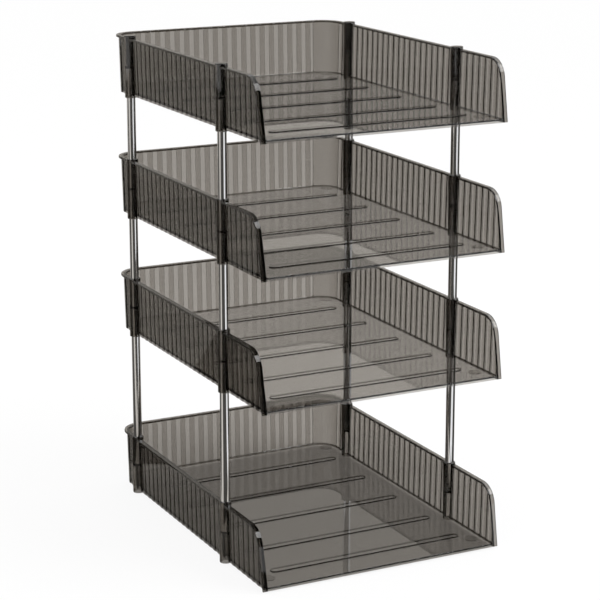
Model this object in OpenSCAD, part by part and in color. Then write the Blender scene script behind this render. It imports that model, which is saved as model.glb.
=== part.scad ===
// Tiered letter tray: four moulded trays that plug together on twelve steel posts.
// Millimetres, +Z up, +Y to the back. The origin is under the middle of the bottom tray.

/* [Stack] */
// Length of the four posts in the lowest gap
post_long = 163.8; // [120:0.1:220]
// Length of the eight posts in the upper gaps
post_short = 118.8; // [100:0.1:180]

/* [Tray] */
// Width over the rims
tray_w = 250; // [236:1:280]
// Depth from the back rim to the front edge of the floor
tray_d = 344; // [330:1:380]
// Height of the rim's top above the feet
rim_z = 58.5; // [48:0.5:75]
// Height of the walls' lower edge above the feet
wall_low = 2; // [1:0.5:4]
// How far the floor's underside lies above the walls' lower edge
floor_lift = 1.7; // [1:0.1:3]
// Thickness of the floor
floor_t = 1.7; // [1.6:0.1:4]
// Thickness of the lip that hangs from the floor's front edge
front_lip_t = 1.2; // [0.8:0.1:2]
// Thickness of the walls at the crest of a flute
wall_t = 2.4; // [2:0.1:4]
// Draft of the walls, in degrees
draft = 1.2; // [0.5:0.1:2]
// Plan radius of the rear corners of the rim
corner_r = 24.8; // [15:0.1:40]
// How far the rim stands out past the wall
rim_over = 2.5; // [1.5:0.1:4]
// Thickness of the rim
rim_t = 2; // [1.5:0.1:3]

/* [Front of the side walls] */
// Radius of the top front corner
front_r = 20; // [10:1:30]
// How far the front edge leans forward on its way down, in degrees
front_lean = 11; // [0:0.5:15]

/* [Flutes] */
// Flutes between the front and the rear sockets
flutes_between_posts = 20; // [16:1:26]
// Flutes across the back wall
flutes_back = 19; // [15:1:25]
// Depth of the grooves between the flutes
flute_depth = 0.6; // [0.4:0.05:1.2]

/* [Sockets] */
// Distance between the left and right sockets
post_gap_x = 242; // [230:1:260]
// Distance between the front and rear sockets
post_gap_y = 212; // [190:1:230]
// Distance from the front edge of the floor to the front sockets
post_set_back = 86; // [75:1:100]
// Outer diameter of a socket
socket_od = 11.5; // [11:0.1:13]
// Radial clearance round a post
post_clearance = 0.05; // [0.02:0.01:0.1]
// How far a socket stands above the rim
socket_rise = 1.5; // [0.5:0.1:3]
// Depth of the lower socket, open downwards
lower_socket = 29; // [15:1:30]
// Web between the lower and the upper socket
septum_t = 2.2; // [1.6:0.1:8]

/* [Posts and plugs] */
// Outer diameter of a post, and of the shank of a plug
post_d = 8.5; // [8:0.1:9]
// Wall of a post
post_wall = 0.8; // [0.6:0.1:1.2]
// Length of a plug's shank
plug_len = 28; // [8:1:28]
// Thickness of a plug's head
plug_head_t = 0.8; // [0.5:0.1:2]
// Chamfer at the lower end of a plug
plug_chamfer = 0.6; // [0.2:0.1:1.5]

/* [Floor ribs] */
// Length of a rib, ends included
rib_len = 200; // [150:1:210]
// Width of a rib
rib_w = 9; // [6:0.5:12]
// Height of a rib
rib_h = 0.9; // [0.5:0.1:1.5]
// Place of the rearmost rib, from the middle of the tray
rib_rear_y = 112.5; // [100:0.5:125]
// Distance between the four rear ribs
rib_pitch = 65.5; // [60:0.5:70]
// Place of the front rib, from the middle of the tray
rib_front_y = -138; // [-145:0.5:-125]

/* [Underside pads] */
// Diameter of a pad
pad_d = 12.5; // [8:0.5:16]
// How far a pad stands out
pad_h = 0.6; // [0.3:0.1:1]
// Distance between the left and right pads
pad_gap_x = 216; // [200:1:220]
// Distance between the front and rear pads
pad_gap_y = 300; // [280:1:305]

/* [Hidden] */
$fn = 96;
overlap = 0.5;
margin = 20;
rear_ribs = 4;
// Height of the flat strip at the bottom of each groove
land = 0.05;

// A point of the wall, given by how far it lies outside the crest line and by its height
function lean(offset, z) = offset / cos(draft) - (rim_z - z) * tan(draft);

// Half width and back of the crest line at the height of the rim
crest_x = tray_w / 2 - rim_over;
crest_y = tray_d / 2 - rim_over;
crest_r = corner_r - rim_over;
corner_x = crest_x - crest_r;
corner_y = crest_y - crest_r;
front_y = -tray_d / 2;
rim_low = rim_z - rim_t;

post_x = post_gap_x / 2;
post_front_y = front_y + post_set_back;
side_pitch = post_gap_y / flutes_between_posts;
back_pitch = 2 * corner_x / flutes_back;
flutes_ahead = ceil(post_set_back / side_pitch);
flutes_behind = ceil((corner_y - post_front_y) / side_pitch);

socket_top = rim_z + socket_rise;
septum_top = lower_socket + septum_t;
bore_d = post_d + 2 * post_clearance;
floor_low = wall_low + floor_lift;
floor_z = floor_low + floor_t;

// Centre of the front corner's arc, and the angle at which the leaning edge leaves it
front_run = (rim_z - front_r - wall_low) * tan(front_lean);
front_tip = front_r / cos(front_lean);
front_arc_y = front_y + front_run + front_tip;
front_arc_z = rim_z - front_r;

// Height of each tier above the table, counted from 0
function tier_z(tier) =
    tier == 0 ? 0 : post_long + septum_t + (tier - 1) * (post_short + septum_t);
function post_len(tier) = tier == 0 ? post_long : post_short;

SMOKE = [0.36, 0.35, 0.33, 0.75];
STEEL = [0.80, 0.80, 0.82];

// Puts its children on the left and on the right
module both_sides() {
    children();
    mirror([1, 0, 0]) children();
}

// Section of a wall with its rim, as offset from the crest line against height
module wall_section(outer) {
    polygon([
        [lean(-wall_t, wall_low), wall_low],
        [lean(outer, wall_low), wall_low],
        [lean(outer, rim_low), rim_low],
        [lean(rim_over, rim_low), rim_low],
        [lean(rim_over, rim_z), rim_z],
        [lean(-wall_t, rim_z), rim_z]
    ]);
}

// Section as thick as the rim over its whole height, for the rim along the front edge
module front_rim_section() {
    polygon([
        [lean(-wall_t, wall_low), wall_low],
        [lean(rim_over, wall_low), wall_low],
        [lean(rim_over, rim_low), rim_low],
        [lean(rim_over, rim_z), rim_z],
        [lean(-wall_t, rim_z), rim_z]
    ]);
}

// Draws a section along +Y from one place to another
module along_y(from_y, to_y) {
    translate([0, to_y, 0]) rotate([90, 0, 0]) linear_extrude(to_y - from_y) children();
}

// Plan of one flute: a round crest over the full width, sunk into the wall's outer face
module flute_plan(pitch) {
    crest_arc_r = (pitch * pitch / 4 + flute_depth * flute_depth) / (2 * flute_depth);
    intersection() {
        translate([-crest_arc_r, 0]) circle(crest_arc_r);
        translate([land - flute_depth - overlap, -pitch / 2]) square([wall_t, pitch]);
    }
}

// A row of flutes along +Y, leaning with the wall
module flutes(from_y, count, pitch) {
    translate([0, 0, rim_z]) rotate([0, draft, 0]) translate([0, 0, -rim_z - margin])
        linear_extrude(rim_z + 2 * margin)
            for (i = [0 : count - 1])
                translate([0, from_y + (i + 0.5) * pitch]) flute_plan(pitch);
}

// Side view of a side wall, drawn in by inset from its top and its front edge
module side_view(inset, low) {
    arc_r = front_r - inset;
    edge_y = front_arc_y - arc_r / cos(front_lean);
    translate([front_arc_y, low]) square([corner_y - front_arc_y, rim_z - inset - low]);
    translate([front_arc_y, front_arc_z]) circle(arc_r);
    polygon([
        [edge_y - (front_arc_z - low) * tan(front_lean), low],
        [front_arc_y, low],
        [front_arc_y, front_arc_z],
        [front_arc_y - arc_r * cos(front_lean), front_arc_z + arc_r * sin(front_lean)],
        [edge_y, front_arc_z]
    ]);
}

// Draws a side view out along X, past both faces of the right-hand wall
module across_wall() {
    translate([crest_x - margin, 0, 0])
        rotate([90, 0, 90]) linear_extrude(2 * margin) children();
}

module right_wall() {
    first_flute = post_front_y - flutes_ahead * side_pitch;
    intersection() {
        translate([crest_x, 0, 0]) along_y(front_y - margin, corner_y) wall_section(land - flute_depth);
        across_wall() side_view(0, wall_low);
    }
    intersection() {
        translate([crest_x, 0, 0]) flutes(first_flute, flutes_ahead + flutes_behind, side_pitch);
        across_wall() side_view(rim_t / 2, wall_low);
    }
    intersection() {
        translate([crest_x, 0, 0]) along_y(front_y - margin, corner_y) front_rim_section();
        across_wall() difference() {
            side_view(0, wall_low);
            side_view(rim_t, wall_low - margin);
        }
    }
}

module rear_corner() {
    translate([corner_x, corner_y, 0])
        rotate_extrude(angle = 90) translate([crest_r, 0]) wall_section(0);
}

module back_wall() {
    translate([0, crest_y, 0]) rotate([0, 0, 90]) {
        along_y(-corner_x, corner_x) wall_section(land - flute_depth);
        intersection() {
            flutes(-corner_x, flutes_back, back_pitch);
            translate([-margin, -corner_x, wall_low])
                cube([2 * margin, 2 * corner_x, rim_z - rim_t / 2 - wall_low]);
        }
    }
}

// Floor plate, let into the walls on three sides, with a lip under its front edge
module floor_plate() {
    inset = -lean(-wall_t, floor_z) - overlap;
    half_w = crest_x - inset;
    plate_r = crest_r - inset;
    translate([0, 0, floor_low]) linear_extrude(floor_t) union() {
        translate([-half_w, front_y]) square([2 * half_w, corner_y - front_y]);
        translate([-corner_x, corner_y - overlap]) square([2 * corner_x, plate_r + overlap]);
        both_sides() translate([corner_x, corner_y]) circle(plate_r);
    }
    translate([-half_w, front_y, wall_low]) cube([2 * half_w, front_lip_t, floor_lift + overlap]);
}

module floor_rib(y) {
    run = (rib_len - rib_w) / 2;
    translate([0, y, floor_z - overlap]) linear_extrude(rib_h + overlap) union() {
        square([2 * run, rib_w], center = true);
        both_sides() translate([run, 0]) circle(rib_w / 2);
    }
}

module at_pads() {
    for (x = [-1, 1], y = [-1, 1])
        translate([x * pad_gap_x / 2, y * pad_gap_y / 2, 0]) children();
}

module at_sockets() {
    for (x = [-1, 1], y = [0, 1])
        translate([x * post_x, post_front_y + y * post_gap_y, 0]) children();
}

// One tray, with its feet on the height of its tier
module tray(tier) {
    color(SMOKE) translate([0, 0, tier_z(tier)]) difference() {
        union() {
            floor_plate();
            both_sides() right_wall();
            both_sides() rear_corner();
            back_wall();
            for (i = [0 : rear_ribs - 1]) floor_rib(rib_rear_y - i * rib_pitch);
            floor_rib(rib_front_y);
            at_pads() translate([0, 0, floor_low - pad_h]) cylinder(d = pad_d, h = pad_h + overlap);
            at_sockets() cylinder(d = socket_od, h = socket_top);
        }
        at_sockets() {
            translate([0, 0, -margin]) cylinder(d = bore_d, h = margin + lower_socket);
            translate([0, 0, septum_top]) cylinder(d = bore_d, h = socket_top);
        }
    }
}

// One steel tube with round lips, standing on the web of the socket below it
module post(tier, side, row) {
    lip_r = post_wall / 2;
    mid_r = post_d / 2 - lip_r;
    length = post_len(tier);
    color(STEEL)
        translate([side * post_x, post_front_y + row * post_gap_y, tier_z(tier) + septum_top])
            rotate_extrude() union() {
                translate([mid_r - lip_r, lip_r]) square([post_wall, length - post_wall]);
                translate([mid_r, lip_r]) circle(lip_r);
                translate([mid_r, length - lip_r]) circle(lip_r);
            }
}

// One plug that closes an upper socket of the top tray, with its head on the socket's end
module plug(side, row) {
    shank_r = post_d / 2;
    head_r = socket_od / 2;
    color(SMOKE)
        translate([side * post_x, post_front_y + row * post_gap_y, tier_z(3) + socket_top - plug_len])
            rotate_extrude() polygon([
                [0, 0],
                [shank_r - plug_chamfer, 0],
                [shank_r, plug_chamfer],
                [shank_r, plug_len],
                [head_r, plug_len],
                [head_r, plug_len + plug_head_t],
                [0, plug_len + plug_head_t]
            ]);
}

tray(0);  // tray_1
tray(1);  // tray_2
tray(2);  // tray_3
tray(3);  // tray_4
post(0, -1, 0);  // post_1_front_left
post(0, 1, 0);  // post_1_front_right
post(0, -1, 1);  // post_1_rear_left
post(0, 1, 1);  // post_1_rear_right
post(1, -1, 0);  // post_2_front_left
post(1, 1, 0);  // post_2_front_right
post(1, -1, 1);  // post_2_rear_left
post(1, 1, 1);  // post_2_rear_right
post(2, -1, 0);  // post_3_front_left
post(2, 1, 0);  // post_3_front_right
post(2, -1, 1);  // post_3_rear_left
post(2, 1, 1);  // post_3_rear_right
plug(-1, 0);  // plug_front_left
plug(1, 0);  // plug_front_right
plug(-1, 1);  // plug_rear_left
plug(1, 1);  // plug_rear_right
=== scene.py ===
import math

import bmesh
import bpy
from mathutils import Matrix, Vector


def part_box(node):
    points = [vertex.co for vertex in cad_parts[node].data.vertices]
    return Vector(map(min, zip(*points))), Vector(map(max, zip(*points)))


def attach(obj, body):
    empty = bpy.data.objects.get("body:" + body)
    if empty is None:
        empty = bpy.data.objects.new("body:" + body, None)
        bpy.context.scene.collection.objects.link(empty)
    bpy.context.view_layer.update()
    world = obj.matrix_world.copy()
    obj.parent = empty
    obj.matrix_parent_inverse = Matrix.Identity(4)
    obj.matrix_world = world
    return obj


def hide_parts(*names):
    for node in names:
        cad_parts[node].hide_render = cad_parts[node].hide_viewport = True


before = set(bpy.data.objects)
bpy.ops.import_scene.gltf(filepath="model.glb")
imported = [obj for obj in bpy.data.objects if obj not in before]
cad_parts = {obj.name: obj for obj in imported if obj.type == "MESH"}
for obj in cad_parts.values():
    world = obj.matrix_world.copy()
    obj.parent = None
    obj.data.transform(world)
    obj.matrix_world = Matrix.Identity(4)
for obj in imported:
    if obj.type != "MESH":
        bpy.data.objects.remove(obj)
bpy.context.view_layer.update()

# Sizes of a tray in millimetres, as its solid has them. Heights are above the tray's feet.
MM = 0.001
tray_low, tray_high = [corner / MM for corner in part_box("tray_1")]
FRONT_Y = tray_low.y
BACK_Y = tray_high.y
SOCKET_TOP = tray_high.z - tray_low.z
HALF_W = 125.0
RIM_Z = 58.5
RIM_T = 2.0
RIM_OVER = 2.5
WALL_T = 2.4
WALL_LOW = 2.0
FLOOR_LOW = 3.7
FLOOR_Z = 5.4
FRONT_LIP_T = 1.2
DRAFT = math.radians(1.2)
CREST_X = HALF_W - RIM_OVER
CREST_Y = BACK_Y - RIM_OVER
CREST_R = 22.3
CORNER_X = CREST_X - CREST_R
CORNER_Y = CREST_Y - CREST_R

# How far the rim stands in past the wall
RIM_IN = 0.15

# The front edge of a side wall: an arc at the top, then a straight edge that leans forward
FRONT_R = 20.0
FRONT_LEAN = math.radians(11)
ARC_Z = RIM_Z - FRONT_R
ARC_Y = FRONT_Y + (ARC_Z - WALL_LOW) * math.tan(FRONT_LEAN) + FRONT_R / math.cos(FRONT_LEAN)

# Flutes on the walls
SIDE_FLUTES = 31
BACK_FLUTES = 19
SIDE_PITCH = 10.6
BACK_PITCH = 2 * CORNER_X / BACK_FLUTES

# One flute: the places where a face of the wall bends, as shares of the pitch, and its depth there.
# The ridges of the back are flat and steep. Those of the sides fall off to the rear, and inside the wall
# a fine groove runs along their front edge.
EASED = 0.05
BACK_LOW = 0.58
SIDE_LOW = 0.72
SIDE_TOP = 0.22
GROOVE_DEPTH = 0.32
BACK_RIDGE = (
    (0, BACK_LOW), (0.244, BACK_LOW), (0.25, EASED), (0.255, 0),
    (0.745, 0), (0.75, EASED), (0.756, BACK_LOW),
)
SIDE_RIDGE = (
    (0, SIDE_LOW), (0.244, SIDE_LOW), (0.25, SIDE_TOP + EASED), (0.255, SIDE_TOP),
    (0.68, SIDE_TOP), (0.75, (SIDE_TOP + SIDE_LOW) / 2), (0.82, SIDE_LOW),
)
SIDE_GROOVE = (
    (0, 0), (0.094, 0), (0.179, GROOVE_DEPTH), (0.264, 0),
    (0.57, 0), (0.71, 0), (0.86, 0),
)
FLUTE_STEPS = len(BACK_RIDGE)

# Sockets for the posts, one under and one above a web
SOCKET_R = 5.75
BORE_R = 4.3
WEB_LOW = 29.0
WEB_HIGH = 31.2

# Ribs on the floor, hollow from below, and round pads under it
RIB_ROWS = (112.5, 47.0, -18.5, -84.0, -138.0)
RIB_LEN = 200.0
RIB_W = 9.0
RIB_H = 0.9
RIB_HOLLOW_W = 7.4
PAD_X = 108.0
PAD_Y = 150.0
PAD_R = 6.25
PAD_H = 0.6
PAD_PLACES = [(x, y) for x in (-PAD_X, PAD_X) for y in (-PAD_Y, PAD_Y)]

# Steel tubes, and the plugs that close the upper sockets of the top tray
CORNERS = ("front_left", "front_right", "rear_left", "rear_right")
POST_WALL = 0.8
POST_ROUND = 0.49 * POST_WALL
post_low, post_high = [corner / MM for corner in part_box("post_1_front_left")]
POST_R = (post_high.x - post_low.x) / 2
POST_PLACES = [
    tuple(((low + high) / 2 / MM).xy)
    for low, high in (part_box("post_1_" + corner) for corner in CORNERS)
]
plug_low, plug_high = [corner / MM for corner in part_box("plug_front_left")]
PLUG_R = (plug_high.x - plug_low.x) / 2
PLUG_HEAD_T = 0.8
PLUG_LEN = plug_high.z - plug_low.z - PLUG_HEAD_T
PLUG_CHAMFER = 0.6

# Radii of the rounded edges, and the steps in a quarter of one
RIM_ROUND = 0.45
EDGE_ROUND = 0.5
FINE_ROUND = 0.3
CRISP_ROUND = 0.12
FILLET_R = 1.2
EDGE_STEPS = 6

# How deep a part is sunk into the one that carries it, and how far a cutter reaches past what it cuts
SUNK = 0.6
PAST = 10.0

# How close places count as the same, and how close points are merged
HAIR = 0.035
MERGE = 0.001

# Steps in a full round, and the angle in degrees up to which faces are shaded as one
ROUND_STEPS = 48
SMOOTH_ANGLE = 18

X_AXIS = (1, 0, 0)
Y_AXIS = (0, 1, 0)
Z_AXIS = (0, 0, 1)


def mm(x, y, z):
    """A place or a move in millimetres, in Blender's metres."""
    return x * MM, y * MM, z * MM


def lean(offset, z):
    """How far out from the crest line at the rim a point of the wall lies, at a height."""
    return offset / math.cos(DRAFT) - (RIM_Z - z) * math.tan(DRAFT)


# Modelling by hand: a point, drawn into an outline, filled, then pushed and turned into a solid


def begin_at(name, x, y, z):
    """Starts a new piece from one point and leaves it in edit mode."""
    bpy.ops.object.select_all(action="DESELECT")
    bpy.ops.mesh.primitive_plane_add(size=MM)
    piece = bpy.context.object
    piece.name = name
    bpy.ops.object.mode_set(mode="EDIT")
    bpy.context.tool_settings.mesh_select_mode = (True, False, False)
    bpy.ops.mesh.merge(type="CENTER")
    bpy.ops.transform.translate(value=mm(x, y, z))
    return piece


def line(x, y, z):
    """Draws a straight line on from the selected point."""
    bpy.ops.mesh.extrude_vertices_move(TRANSFORM_OT_translate={"value": mm(x, y, z)})


def turn(centre, axis, angle, steps):
    """Draws the selected point, edges or face on round an axis."""
    bpy.ops.mesh.spin(steps=steps, angle=-angle, center=mm(*centre), axis=axis)


def push(x, y, z):
    """Draws the selected face out."""
    bpy.ops.mesh.extrude_region_move(TRANSFORM_OT_translate={"value": mm(x, y, z)})


def push_edge(x, y, z):
    """Draws the selected edge out into a face."""
    bpy.ops.mesh.extrude_edges_move(TRANSFORM_OT_translate={"value": mm(x, y, z)})


def fill():
    """Closes the outline with a face and leaves it selected."""
    bpy.ops.mesh.select_all(action="SELECT")
    bpy.ops.mesh.edge_face_add()


def pick(test):
    """Selects the points that pass a test on their place in millimetres, and the faces between them."""
    mesh = bmesh.from_edit_mesh(bpy.context.edit_object.data)
    for point in mesh.verts:
        point.select = test(point.co / MM)
    mesh.select_flush_mode()
    bmesh.update_edit_mesh(bpy.context.edit_object.data)


def round_corners(radius, steps, test):
    """Rounds the picked corners of a flat outline."""
    pick(test)
    bpy.ops.mesh.bevel(offset=radius * MM, segments=steps, affect="VERTICES")


def round_edges(radius, steps, test, upright=False):
    """Rounds the picked edges of a solid, or only the upright ones of them."""
    pick(test)
    if upright:
        mesh = bmesh.from_edit_mesh(bpy.context.edit_object.data)
        bpy.context.tool_settings.mesh_select_mode = (False, True, False)
        for edge in mesh.edges:
            one, other = edge.verts
            edge.select_set(edge.select and (one.co.xy - other.co.xy).length < HAIR * MM)
        mesh.select_flush_mode()
        bmesh.update_edit_mesh(bpy.context.edit_object.data)
    bpy.ops.mesh.bevel(offset=radius * MM, segments=steps, affect="EDGES")
    bpy.context.tool_settings.mesh_select_mode = (True, False, False)


def finish_solid():
    """Turns all faces outwards and leaves edit mode."""
    bpy.ops.mesh.select_all(action="SELECT")
    bpy.ops.mesh.normals_make_consistent(inside=False)
    bpy.ops.object.mode_set(mode="OBJECT")


def join_solid(piece, tool, operation):
    """Fuses a solid with another one, or cuts it with it, and uses that one up."""
    joint = piece.modifiers.new(operation.lower(), "BOOLEAN")
    joint.object = tool
    joint.operation = operation
    joint.solver = "MANIFOLD"
    bpy.ops.object.select_all(action="DESELECT")
    bpy.context.view_layer.objects.active = piece
    piece.select_set(True)
    bpy.ops.object.modifier_apply(modifier=joint.name)
    bpy.data.objects.remove(tool, do_unlink=True)


def gather(piece, other):
    """Puts solids that stand apart into one object."""
    if piece is None:
        return other
    bpy.ops.object.select_all(action="DESELECT")
    piece.select_set(True)
    other.select_set(True)
    bpy.context.view_layer.objects.active = piece
    bpy.ops.object.join()
    return piece


def clear_slivers():
    """Takes the tiny faces out that fusing and cutting leave behind."""
    bpy.ops.object.mode_set(mode="EDIT")
    bpy.ops.mesh.select_all(action="SELECT")
    bpy.ops.mesh.remove_doubles(threshold=MERGE * MM)
    bpy.ops.mesh.dissolve_degenerate(threshold=MERGE * MM)
    finish_solid()


def smooth(piece):
    """Shades round faces smooth and keeps flat faces flat."""
    bpy.ops.object.select_all(action="DESELECT")
    bpy.context.view_layer.objects.active = piece
    piece.select_set(True)
    bpy.ops.object.shade_smooth_by_angle(angle=math.radians(SMOOTH_ANGLE))
    weigh = piece.modifiers.new("weigh", "WEIGHTED_NORMAL")
    weigh.keep_sharp = True
    bpy.ops.object.modifier_apply(modifier=weigh.name)


def everywhere(place):
    """A test that every point passes."""
    return True


# The tray


def press_flutes(flute, inside, along, out, first, pitch, count, sign):
    """Presses flutes into one face of a wall that runs along one axis and faces another."""
    crest = CREST_X if out == 0 else CREST_Y
    for step, (share, depth) in enumerate(flute):
        def in_step(place):
            offset = sign * place[out] - crest - lean(0, place.z)
            column = (place[along] - first) / pitch * FLUTE_STEPS
            nearest = round(column)
            in_row = 0 <= nearest <= count * FLUTE_STEPS and abs(column - nearest) < HAIR
            return (offset < -WALL_T / 2) == inside and in_row and nearest % FLUTE_STEPS == step
        pick(in_step)
        move = [0.0, 0.0, 0.0]
        move[along] = (share - step / FLUTE_STEPS) * pitch
        move[out] = sign * depth if inside else -sign * depth
        bpy.ops.transform.translate(value=mm(*move))


def fluted_walls():
    """The left, back and right wall as one strip, without the rim."""
    top = RIM_Z - RIM_T / 2
    start = CORNER_Y - SIDE_FLUTES * SIDE_PITCH
    section = ((-WALL_T, WALL_LOW), (0, WALL_LOW), (0, top), (-WALL_T, top))
    outline = [(-CREST_X - lean(offset, z), z) for offset, z in section]
    wall = begin_at("walls", outline[0][0], start, outline[0][1])
    for (x, z), (next_x, next_z) in zip(outline, outline[1:]):
        line(next_x - x, 0, next_z - z)
    fill()
    side_step = mm(0, SIDE_PITCH / FLUTE_STEPS, 0)
    back_step = mm(BACK_PITCH / FLUTE_STEPS, 0, 0)
    return_step = mm(0, -SIDE_PITCH / FLUTE_STEPS, 0)
    bpy.ops.mesh.extrude_repeat(steps=SIDE_FLUTES * FLUTE_STEPS, offset=side_step)
    turn((-CORNER_X, CORNER_Y, 0), Z_AXIS, -math.pi / 2, ROUND_STEPS // 2)
    bpy.ops.mesh.extrude_repeat(steps=BACK_FLUTES * FLUTE_STEPS, offset=back_step)
    turn((CORNER_X, CORNER_Y, 0), Z_AXIS, -math.pi / 2, ROUND_STEPS // 2)
    bpy.ops.mesh.extrude_repeat(steps=SIDE_FLUTES * FLUTE_STEPS, offset=return_step)
    for sign in (-1, 1):
        press_flutes(SIDE_RIDGE, False, 1, 0, start, SIDE_PITCH, SIDE_FLUTES, sign)
        press_flutes(SIDE_GROOVE, True, 1, 0, start, SIDE_PITCH, SIDE_FLUTES, sign)
    press_flutes(BACK_RIDGE, False, 0, 1, -CORNER_X, BACK_PITCH, BACK_FLUTES, 1)
    finish_solid()
    join_solid(wall, front_cutter(), "DIFFERENCE")
    return wall


def front_cutter():
    """What is taken off the front of both side walls, up to the middle of their front rim."""
    radius = FRONT_R - RIM_T / 2
    sweep = math.pi / 2 - FRONT_LEAN
    foot = ARC_Z + radius * math.sin(FRONT_LEAN) + PAST
    cutter = begin_at("front_cutter", -HALF_W - PAST, ARC_Y, ARC_Z + radius)
    turn((0, ARC_Y, ARC_Z), X_AXIS, sweep, ROUND_STEPS // 2)
    line(0, -foot * math.tan(FRONT_LEAN), -foot)
    line(0, -5 * PAST, 0)
    line(0, 0, RIM_Z + 3 * PAST)
    line(0, 5 * PAST + foot * math.tan(FRONT_LEAN) + radius * math.cos(FRONT_LEAN), 0)
    fill()
    push(2 * (HALF_W + PAST), 0, 0)
    finish_solid()
    return cutter


def round_the_tray(start):
    """Draws the selected face along the left wall, the back and the right wall."""
    push(0, CORNER_Y - start, 0)
    turn((-CORNER_X, CORNER_Y, 0), Z_AXIS, -math.pi / 2, ROUND_STEPS // 2)
    push(2 * CORNER_X, 0, 0)
    turn((CORNER_X, CORNER_Y, 0), Z_AXIS, -math.pi / 2, ROUND_STEPS // 2)
    push(0, start - CORNER_Y, 0)


def rim():
    """The rim, in one run from the foot of the left front edge over the walls to the right one."""
    inner = -WALL_T - RIM_IN
    sweep = math.pi / 2 - FRONT_LEAN
    drop = 2 * FRONT_R + PAST
    piece = begin_at("rim", -CREST_X - inner, ARC_Y, RIM_Z - RIM_T)
    line(inner - RIM_OVER, 0, 0)
    line(0, 0, RIM_T)
    line(RIM_OVER - inner, 0, 0)
    fill()
    round_corners(RIM_ROUND, EDGE_STEPS, everywhere)
    bpy.ops.mesh.select_all(action="SELECT")
    round_the_tray(ARC_Y)
    for side in (1, -1):
        pick(lambda place: abs(place.y - ARC_Y) < HAIR and side * place.x > 0)
        turn((0, ARC_Y, ARC_Z), X_AXIS, sweep, ROUND_STEPS // 2)
        push(0, -drop * math.sin(FRONT_LEAN), -drop * math.cos(FRONT_LEAN))
        pick(lambda place: place.y < ARC_Y - HAIR and side * place.x > 0)
        bpy.ops.transform.rotate(
            value=-side * DRAFT, orient_axis="Y", center_override=mm(side * CREST_X, 0, RIM_Z)
        )
    bpy.ops.mesh.select_all(action="SELECT")
    bpy.ops.mesh.bisect(
        plane_co=mm(0, 0, WALL_LOW + HAIR), plane_no=Z_AXIS, use_fill=True, clear_inner=True
    )
    finish_solid()
    return piece


def floor_plate():
    """The floor, let into the walls on three sides, with a lip that hangs from its front edge."""
    inset = -lean(-WALL_T, FLOOR_Z) - SUNK
    half = CREST_X - inset
    lip_y = FRONT_Y + FRONT_LIP_T

    def at_front(place):
        return place.y < FRONT_Y + HAIR

    plate = begin_at("floor_plate", -half, FRONT_Y, WALL_LOW)
    line(2 * half, 0, 0)
    line(0, FRONT_LIP_T, 0)
    line(-2 * half, 0, 0)
    fill()
    push(0, 0, FLOOR_LOW - WALL_LOW)
    push(0, 0, FLOOR_Z - FLOOR_LOW)
    pick(lambda place: place.y > lip_y - HAIR and place.z > FLOOR_LOW - HAIR)
    push(0, CREST_Y - inset - lip_y, 0)
    round_edges(CREST_R - inset, ROUND_STEPS // 2, lambda place: place.y > lip_y + HAIR, upright=True)
    round_edges(EDGE_ROUND, EDGE_STEPS, lambda place: at_front(place) and place.z > FLOOR_Z - HAIR)
    round_edges(FINE_ROUND, EDGE_STEPS, lambda place: at_front(place) and place.z < WALL_LOW + HAIR)
    finish_solid()
    return plate


def floor_fillet():
    """The small round between the floor and the walls, in one run along all three."""
    start = FRONT_Y + FRONT_LIP_T
    reach = FILLET_R - HAIR
    wall_x = -CREST_X - lean(-WALL_T, FLOOR_Z)
    piece = begin_at("fillet", wall_x - HAIR, start, FLOOR_Z + reach)
    turn((wall_x + reach, start, FLOOR_Z + reach), Y_AXIS, -math.pi / 2, EDGE_STEPS)
    line(0, 0, -SUNK)
    line(-reach - SUNK, 0, 0)
    line(0, 0, SUNK + FILLET_R)
    fill()
    round_the_tray(start)
    finish_solid()
    return piece


def bars(name, width, low, high):
    """Five bars across the floor with round ends: the ribs, or the hollows under them."""
    run = RIB_LEN - RIB_W
    piece = None
    for y in RIB_ROWS:
        bar = begin_at(name, -run / 2, y - width / 2, low)
        line(run, 0, 0)
        turn((run / 2, y, 0), Z_AXIS, math.pi, ROUND_STEPS // 3)
        line(-run, 0, 0)
        turn((-run / 2, y, 0), Z_AXIS, math.pi, ROUND_STEPS // 3)
        bpy.ops.mesh.select_all(action="SELECT")
        bpy.ops.mesh.remove_doubles(threshold=MERGE * MM)
        fill()
        push(0, 0, high - low)
        round_edges(CRISP_ROUND, EDGE_STEPS, lambda place: place.z > high - HAIR)
        finish_solid()
        piece = gather(piece, bar)
    return piece


def rods(name, radius, low, high, places, rounding):
    """Upright round rods at some places, with both ends rounded."""
    piece = None
    for x, y in places:
        bpy.ops.object.select_all(action="DESELECT")
        bpy.ops.mesh.primitive_cylinder_add(
            vertices=ROUND_STEPS, radius=radius * MM, depth=(high - low) * MM,
            location=mm(x, y, (low + high) / 2),
        )
        rod = bpy.context.object
        bpy.ops.object.transform_apply(location=True)
        rod.name = name
        bpy.ops.object.mode_set(mode="EDIT")
        mesh = bmesh.from_edit_mesh(rod.data)
        for face in mesh.faces:
            face.select = abs(face.normal.z) > 0.5
        bmesh.update_edit_mesh(rod.data)
        bpy.ops.mesh.region_to_loop()
        bpy.ops.mesh.bevel(offset=rounding * MM, segments=EDGE_STEPS, affect="EDGES")
        finish_solid()
        piece = gather(piece, rod)
    return piece


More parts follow.
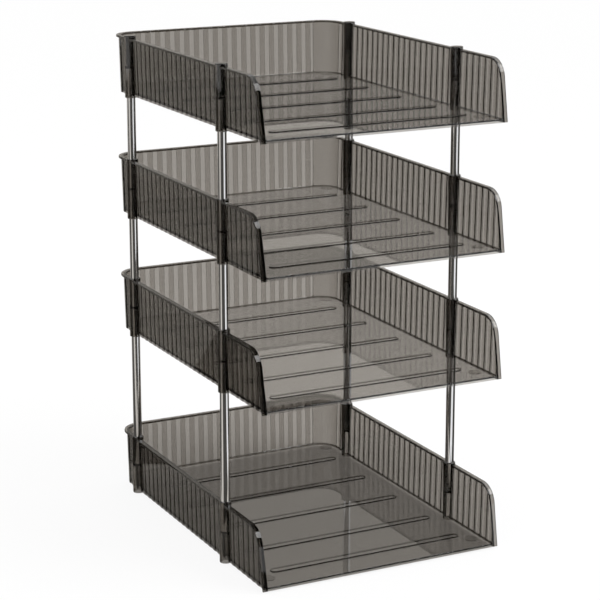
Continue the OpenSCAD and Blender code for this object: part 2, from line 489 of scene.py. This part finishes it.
def tray_moulding():
    """One tray, moulded in one piece."""
    pads = rods("pads", PAD_R, FLOOR_LOW - PAD_H, FLOOR_LOW + SUNK, PAD_PLACES, CRISP_ROUND)
    sockets = rods("sockets", SOCKET_R, 0, SOCKET_TOP, POST_PLACES, EDGE_ROUND)
    lower_bores = rods("lower_bores", BORE_R, -PAST, WEB_LOW, POST_PLACES, FINE_ROUND)
    upper_bores = rods("upper_bores", BORE_R, WEB_HIGH, SOCKET_TOP + PAST, POST_PLACES, FINE_ROUND)
    ribs = bars("ribs", RIB_W, FLOOR_Z - SUNK, FLOOR_Z + RIB_H)
    hollows = bars("hollows", RIB_HOLLOW_W, FLOOR_LOW - SUNK, FLOOR_LOW + RIB_H)
    tray = fluted_walls()
    for part in (floor_plate(), rim(), floor_fillet(), ribs, pads, sockets):
        join_solid(tray, part, "UNION")
    for hole in (hollows, lower_bores, upper_bores):
        join_solid(tray, hole, "DIFFERENCE")
    clear_slivers()
    smooth(tray)
    return tray


def spin_round():
    """Turns the drawn outline once round the upright axis into a closed solid."""
    bpy.ops.mesh.select_all(action="SELECT")
    bpy.ops.mesh.spin(
        steps=ROUND_STEPS, angle=2 * math.pi, center=(0, 0, 0), axis=Z_AXIS, use_auto_merge=True
    )
    bpy.ops.mesh.select_all(action="SELECT")
    bpy.ops.mesh.remove_doubles(threshold=MERGE * MM)
    finish_solid()


def steel_tube(length):
    """A tube standing on the origin, with rolled ends."""
    tube = begin_at("tube", POST_R - POST_WALL, 0, 0)
    line(POST_WALL, 0, 0)
    line(0, 0, length)
    line(-POST_WALL, 0, 0)
    fill()
    round_corners(POST_ROUND, EDGE_STEPS, everywhere)
    bpy.ops.mesh.select_all(action="SELECT")
    bpy.ops.mesh.delete(type="ONLY_FACE")
    spin_round()
    smooth(tube)
    return tube


def socket_plug():
    """A plug standing on the origin: a shank with a chamfered end under a flat round head."""
    plug = begin_at("plug", 0, 0, 0)
    line(POST_R - PLUG_CHAMFER, 0, 0)
    line(PLUG_CHAMFER, 0, PLUG_CHAMFER)
    line(0, 0, PLUG_LEN - PLUG_CHAMFER)
    line(PLUG_R - POST_R, 0, 0)
    line(0, 0, PLUG_HEAD_T)
    line(-PLUG_R, 0, 0)
    fill()
    top = PLUG_LEN + HAIR
    round_corners(FINE_ROUND, EDGE_STEPS, lambda place: place.x > POST_R + HAIR and place.z > top)
    pick(lambda place: place.x < HAIR)
    bpy.ops.mesh.delete(type="EDGE_FACE")
    spin_round()
    smooth(plug)
    return plug


def copy_to(model, name, place):
    """A copy with its own mesh, with its place in that mesh."""
    piece = model.copy()
    piece.data = model.data.copy()
    piece.name = name
    piece.data.name = name
    bpy.context.collection.objects.link(piece)
    bpy.ops.object.select_all(action="DESELECT")
    bpy.context.view_layer.objects.active = piece
    piece.select_set(True)
    piece.location = place
    bpy.ops.object.transform_apply(location=True)
    return piece


def coat(piece, material):
    """Gives all faces of a piece one material."""
    piece.data.materials.clear()
    piece.data.materials.append(material)
    for face in piece.data.polygons:
        face.material_index = 0


# Materials


def shader(material, kind, **values):
    """A node of a material, with plain values on its sockets."""
    made = material.node_tree.nodes.new("ShaderNode" + kind)
    for socket, value in values.items():
        made.inputs[socket.replace("_", " ")].default_value = value
    return made


def new_material(name):
    """A material with an empty node tree."""
    material = bpy.data.materials.new(name)
    material.use_nodes = True
    material.node_tree.nodes.clear()
    return material


def smoke_plastic():
    """Clear plastic, dyed smoke grey right through, with the faint waves that moulding leaves."""
    material = new_material("smoke_plastic")
    link = material.node_tree.links.new
    place = shader(material, "TexCoord")
    waves = shader(material, "TexNoise", Scale=30.0, Detail=1.0)
    link(place.outputs["Object"], waves.inputs["Vector"])
    bump = shader(material, "Bump", Strength=0.02, Distance=0.0001)
    link(waves.outputs["Fac"], bump.inputs["Height"])
    haze = shader(material, "TexNoise", Scale=160.0, Detail=4.0)
    link(place.outputs["Object"], haze.inputs["Vector"])
    gloss = shader(material, "MapRange", To_Min=0.01, To_Max=0.03)
    link(haze.outputs["Fac"], gloss.inputs["Value"])
    body = shader(material, "BsdfPrincipled", Base_Color=(1, 1, 1, 1), IOR=1.55, Transmission_Weight=1.0)
    link(gloss.outputs["Result"], body.inputs["Roughness"])
    link(bump.outputs["Normal"], body.inputs["Normal"])
    dye = shader(material, "VolumeAbsorption", Color=(0.203, 0.155, 0.092, 1), Density=740.0)
    output = shader(material, "OutputMaterial")
    link(body.outputs["BSDF"], output.inputs["Surface"])
    link(dye.outputs["Volume"], output.inputs["Volume"])
    return material


def bright_steel():
    """Chromed tube: nearly a mirror, with fine lines along it from drawing."""
    material = new_material("bright_steel")
    link = material.node_tree.links.new
    place = shader(material, "TexCoord")
    drawn = shader(material, "Mapping", Scale=(900.0, 900.0, 6.0))
    link(place.outputs["Object"], drawn.inputs["Vector"])
    lines = shader(material, "TexNoise", Scale=1.0, Detail=3.0)
    link(drawn.outputs["Vector"], lines.inputs["Vector"])
    gloss = shader(material, "MapRange", To_Min=0.05, To_Max=0.14)
    link(lines.outputs["Fac"], gloss.inputs["Value"])
    bump = shader(material, "Bump", Strength=0.1, Distance=0.00002)
    link(lines.outputs["Fac"], bump.inputs["Height"])
    body = shader(material, "BsdfPrincipled", Base_Color=(0.78, 0.78, 0.79, 1), Metallic=1.0)
    link(gloss.outputs["Result"], body.inputs["Roughness"])
    link(bump.outputs["Normal"], body.inputs["Normal"])
    output = shader(material, "OutputMaterial")
    link(body.outputs["BSDF"], output.inputs["Surface"])
    return material


# The pieces

plastic = smoke_plastic()
steel = bright_steel()

tray_model = tray_moulding()
coat(tray_model, plastic)
for tier in range(1, 5):
    node = "tray_%d" % tier
    tray = copy_to(tray_model, node + "_moulding", (0, 0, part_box(node)[0].z))
    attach(tray, "tier_%d" % tier)
    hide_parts(node)
bpy.data.objects.remove(tray_model, do_unlink=True)

for tier in range(1, 4):
    low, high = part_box("post_%d_front_left" % tier)
    tube_model = steel_tube((high.z - low.z) / MM)
    coat(tube_model, steel)
    for corner in CORNERS:
        node = "post_%d_%s" % (tier, corner)
        low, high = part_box(node)
        middle = (low + high) / 2
        tube = copy_to(tube_model, node + "_tube", (middle.x, middle.y, low.z))
        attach(tube, "tier_%d" % tier)
        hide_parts(node)
    bpy.data.objects.remove(tube_model, do_unlink=True)

plug_model = socket_plug()
coat(plug_model, plastic)
for corner in CORNERS:
    node = "plug_" + corner
    low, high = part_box(node)
    middle = (low + high) / 2
    plug = copy_to(plug_model, node + "_moulding", (middle.x, middle.y, low.z))
    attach(plug, "tier_4")
    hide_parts(node)
bpy.data.objects.remove(plug_model, do_unlink=True)

# The stage

# The floor, and how much of it shows plain white where it is looked at and where it is seen through
FLOOR_R = 9000.0
FLOOR_WHITE = 0.88
FLOOR_WHITE_THROUGH = 0.35

# Grey cards with a warm tint, seen in mirrored rays only, which paint darker and warmer reflections into
# the steel and the plastic. Those on the floor lie between two directions, in degrees from the front to
# the right, and each has its shade.
CARD_TINT = (1.0, 0.95, 0.87)
CARD_NEAR = 250.0
CARD_FAR = 3000.0
CARD_LIFT = 1.0
CARD_WIDTH = 5000.0
CARD_STEP = 5
NEAR_SHADE = 0.6
FLOOR_CARDS = (
    ("front_card", -62, 6, 0.06),
    ("left_card", -94, -62, 0.6),
    ("far_left_card", -145, -94, 0.08),
    ("rear_left_card", -180, -145, 0.35),
    ("right_card", 43, 115, 0.04),
    ("rear_right_card", 115, 180, 0.35),
)


def floor():
    """A wide pale floor that shows white where it is looked at and keeps part of the shadow."""
    bpy.ops.object.select_all(action="DESELECT")
    bpy.ops.mesh.primitive_circle_add(vertices=2 * ROUND_STEPS, radius=FLOOR_R * MM, fill_type="NGON")
    piece = bpy.context.object
    piece.name = "floor"
    material = new_material("pale_floor")
    link = material.node_tree.links.new
    path = shader(material, "LightPath")
    seen = shader(material, "Math")
    seen.operation = "MAXIMUM"
    link(path.outputs["Is Camera Ray"], seen.inputs[0])
    link(path.outputs["Is Glossy Ray"], seen.inputs[1])
    share = shader(material, "MapRange", To_Min=FLOOR_WHITE, To_Max=FLOOR_WHITE_THROUGH)
    link(path.outputs["Is Transmission Ray"], share.inputs["Value"])
    shown = shader(material, "Math")
    shown.operation = "MULTIPLY"
    link(seen.outputs[0], shown.inputs[0])
    link(share.outputs[0], shown.inputs[1])
    paper = shader(material, "BsdfDiffuse", Color=(0.95, 0.95, 0.95, 1))
    white = shader(material, "Emission", Color=(1, 1, 1, 1), Strength=1.0)
    mix = shader(material, "MixShader")
    link(shown.outputs[0], mix.inputs[0])
    link(paper.outputs[0], mix.inputs[1])
    link(white.outputs[0], mix.inputs[2])
    output = shader(material, "OutputMaterial")
    link(mix.outputs[0], output.inputs["Surface"])
    piece.data.materials.append(material)


def card(piece, shade):
    """Makes a sheet a grey card that only mirrored rays see: a painted reflection that casts no shadow
    and lights nothing.
    """
    finish_solid()
    material = new_material(piece.name)
    link = material.node_tree.links.new
    path = shader(material, "LightPath")
    mirrored = shader(material, "Math")
    mirrored.operation = "GREATER_THAN"
    mirrored.inputs[1].default_value = 0.5
    link(path.outputs["Glossy Depth"], mirrored.inputs[0])
    clear = shader(material, "BsdfTransparent")
    sheet = shader(material, "BsdfDiffuse", Color=[shade * part for part in CARD_TINT] + [1])
    mix = shader(material, "MixShader")
    link(mirrored.outputs[0], mix.inputs[0])
    link(clear.outputs[0], mix.inputs[1])
    link(sheet.outputs[0], mix.inputs[2])
    output = shader(material, "OutputMaterial")
    link(mix.outputs[0], output.inputs["Surface"])
    piece.data.materials.append(material)
    piece.visible_camera = False
    piece.visible_diffuse = False
    piece.visible_shadow = False


def near_card(shade):
    """A round card on the floor under and close round the object, seen only in mirrored rays: a painted
    grey reflection of the floor there.
    """
    bpy.ops.object.select_all(action="DESELECT")
    bpy.ops.mesh.primitive_circle_add(
        vertices=2 * ROUND_STEPS, radius=CARD_NEAR * MM, fill_type="NGON", location=mm(0, 0, CARD_LIFT)
    )
    piece = bpy.context.object
    piece.name = "near_card"
    bpy.ops.object.mode_set(mode="EDIT")
    card(piece, shade)


def floor_card(name, start, end, shade):
    """A card that lies on the floor between two directions, seen only in mirrored rays: a painted
    reflection.
    """
    angle = math.radians(start - 90)
    ahead, aside = math.sin(angle), math.cos(angle)
    run = CARD_FAR - CARD_NEAR
    piece = begin_at(name, CARD_NEAR * aside, CARD_NEAR * ahead, CARD_LIFT)
    line(run * aside, run * ahead, 0)
    bpy.ops.mesh.select_all(action="SELECT")
    turn((0, 0, 0), Z_AXIS, math.radians(end - start), max(2, round((end - start) / CARD_STEP)))
    card(piece, shade)


def standing_card(name, y, height, shade):
    """A card that stands on the floor across the view, before or behind the object, seen only in
    mirrored rays and not through the plastic: a painted reflection.
    """
    piece = begin_at(name, -CARD_WIDTH / 2, y, 0)
    line(CARD_WIDTH, 0, 0)
    bpy.ops.mesh.select_all(action="SELECT")
    push_edge(0, 0, height)
    card(piece, shade)
    piece.visible_transmission = False


def sky():
    """An even white light from all sides."""
    world = bpy.data.worlds.new("studio")
    world.use_nodes = True
    world.node_tree.nodes.clear()
    light = shader(world, "Background", Color=(1, 1, 1, 1), Strength=1.0)
    output = shader(world, "OutputWorld")
    world.node_tree.links.new(light.outputs[0], output.inputs["Surface"])
    bpy.context.scene.world = world


def lamp(name, place, aim, size, power):
    """A square soft box at a place, turned to a point."""
    data = bpy.data.lights.new(name, "AREA")
    data.size = size
    data.energy = power
    box = bpy.data.objects.new(name, data)
    box.location = place
    box.rotation_euler = (Vector(aim) - Vector(place)).to_track_quat("-Z", "Y").to_euler()
    bpy.context.collection.objects.link(box)


def camera():
    """The photograph's view: from the front left, a little above."""
    azimuth = math.radians(-26.906)
    elevation = math.radians(13.756)
    data = bpy.data.cameras.new("camera")
    data.sensor_width = 36.0
    data.lens = 121.3
    data.shift_y = -0.06
    view = bpy.data.objects.new("camera", data)
    view.location = mm(-860.3, -1696.1, 719.9)
    view.rotation_euler = (math.pi / 2 - elevation, 0, azimuth)
    bpy.context.collection.objects.link(view)
    bpy.context.scene.camera = view


floor()
for name, start, end, shade in FLOOR_CARDS:
    floor_card(name, start, end, shade)
near_card(NEAR_SHADE)
# Painted reflections: a grey card behind and a nearly black one in front, which only mirrored rays see
standing_card("back_card", y=1500.0, height=1200.0, shade=0.40)
standing_card("dark_card", y=-2600.0, height=4000.0, shade=0.05)
sky()
lamp("key", place=(0.9, -0.9, 1.8), aim=(0, 0, 0.25), size=1.2, power=18.0)
camera()

scene = bpy.context.scene
scene.view_settings.view_transform = "Standard"
scene.cycles.max_bounces = 40
scene.cycles.transmission_bounces = 40
scene.cycles.glossy_bounces = 12
